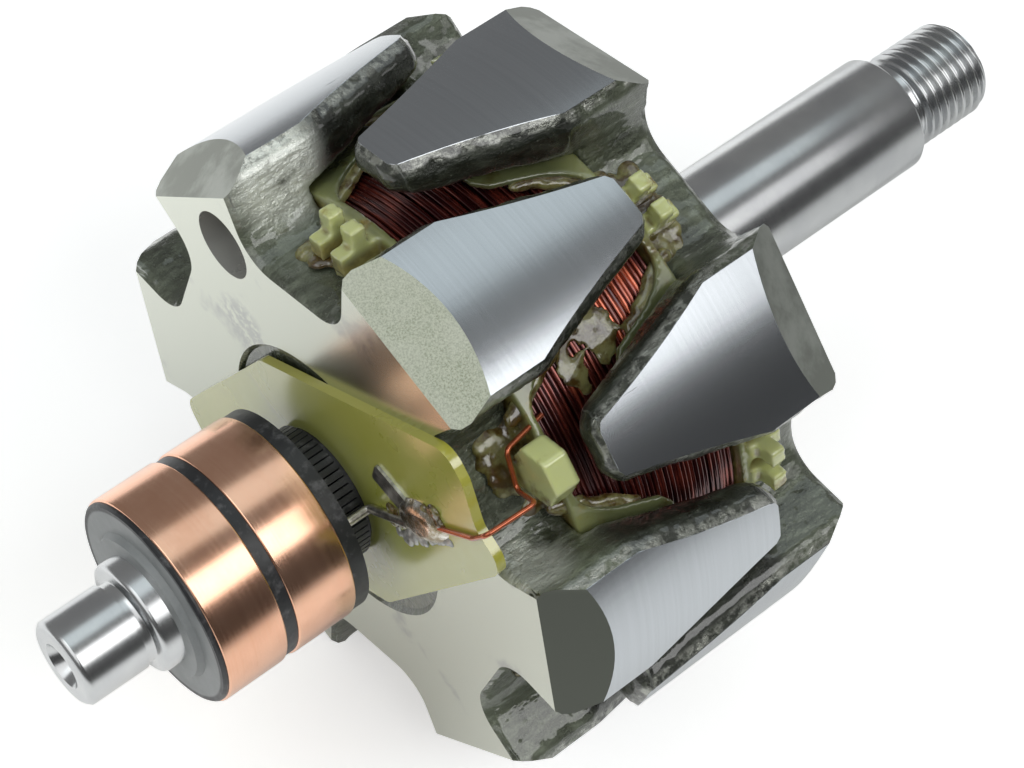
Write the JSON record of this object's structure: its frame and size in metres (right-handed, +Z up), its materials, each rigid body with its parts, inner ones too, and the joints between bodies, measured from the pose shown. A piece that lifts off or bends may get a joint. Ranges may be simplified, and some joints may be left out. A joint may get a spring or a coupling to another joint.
{
  "type": "alternator rotor",
  "caption": "Claw-pole alternator rotor: two interleaved claw poles over a field coil, on a shaft with two slip rings and a threaded end.",
  "frame": {"origin": "on the shaft's axis, in the plane of the drive-end claw pole's outer face, where the drive-end seat begins", "axes": "+X along the shaft towards the threaded drive end, +Z up with the rotor lying on two neighbouring claws"},
  "size_m": [0.1524, 0.09, 0.09],
  "materials": {
    "ground_steel": "ground, satin",
    "pole_steel": "turned faces, forged flanks",
    "hub_steel": "turned",
    "bobbin_nylon": "moulded, varnished",
    "winding_copper": "enamelled wire, dark red",
    "ring_copper": "polished copper",
    "black_moulding": "moulded",
    "board_laminate": "glass-fibre laminate",
    "tinned_strip": "tinned, dull",
    "solder": "solder",
    "conductor_copper": "tinned copper wire"
  },
  "bodies": {
    "root": {"shaft": "ground_steel", "pole_hub": "hub_steel", "front_claw_pole": "pole_steel", "rear_claw_pole": "pole_steel", "coil_bobbin": "bobbin_nylon", "field_winding": "winding_copper", "slip_ring_moulding": "black_moulding", "outer_slip_ring": "ring_copper", "inner_slip_ring": "ring_copper", "outer_ring_conductor": "conductor_copper", "inner_ring_conductor": "conductor_copper", "terminal_board": "board_laminate", "terminal_lug_start": "tinned_strip", "terminal_lug_end": "tinned_strip", "solder_joint_start": "solder", "solder_joint_end": "solder", "coil_lead_start": "winding_copper", "coil_lead_end": "winding_copper"}
  },
  "joints": []
}
